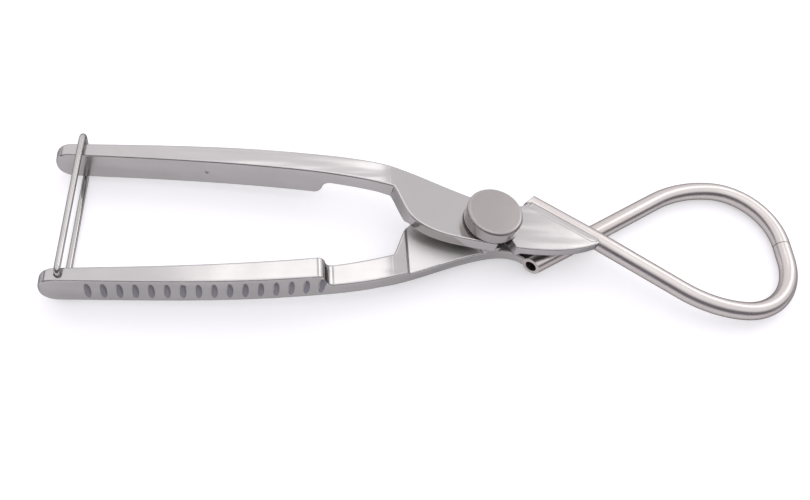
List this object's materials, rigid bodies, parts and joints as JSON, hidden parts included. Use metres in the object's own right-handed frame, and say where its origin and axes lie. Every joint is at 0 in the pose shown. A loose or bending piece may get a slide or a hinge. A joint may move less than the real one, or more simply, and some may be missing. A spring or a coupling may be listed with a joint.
{
  "type": "wire passer",
  "caption": "Steel surgical wire passer: crossed bar handles on a lap joint with a thumb nut, two bent tubes closing into a loop, and a wire bail over the handle ends.",
  "frame": {"origin": "On the pivot's axis, midway between the two halves' lap faces", "axes": "+X to the tip of the loop, +Y to the upper half's handle, +Z along the pivot towards the thumb nut"},
  "size_m": [0.2264, 0.0526, 0.0268],
  "materials": {
    "polished_steel": "polished with satin lock plates",
    "satin_tube": "satin",
    "turned_steel": "fine turned satin",
    "bright_wire": "bright drawn wire"
  },
  "bodies": {
    "lower": {"lower_half": "polished_steel", "lower_tube": "satin_tube", "pivot_stud": "turned_steel"},
    "upper": {"upper_half": "polished_steel", "upper_tube": "satin_tube"},
    "bail": {"locking_bail": "bright_wire"},
    "washer": {"knob_washer": "turned_steel"},
    "nut": {"thumb_nut": "turned_steel"}
  },
  "joints": [
    {"name": "jaw_open", "type": "hinge", "parent": "lower", "child": "upper", "pos_m": [0, 0, 0], "axis": [0, 0, -1], "range_deg": [0, 12.5]},
    {"name": "bail_swing", "type": "hinge", "parent": "lower", "child": "bail", "pos_m": [-0.11935, -0.0213, -0.00907], "axis": [-0.0998, 0, 0.995], "range_deg": [0, 230]},
    {"name": "washer_lift", "type": "slide", "parent": "lower", "child": "washer", "axis": [0, 0, 1], "range_m": [0, 0.0015]},
    {"name": "knob_turn", "type": "hinge", "parent": "washer", "child": "nut", "pos_m": [0, 0, 0.0078], "axis": [0, 0, 1], "range_deg": [0, 720]}
  ],
  "couplings": [
    {"joint": "bail_swing", "follows": "jaw_open", "ratio": 18},
    {"joint": "washer_lift", "follows": "knob_turn", "m_per_rad": 0.00011141}
  ]
}
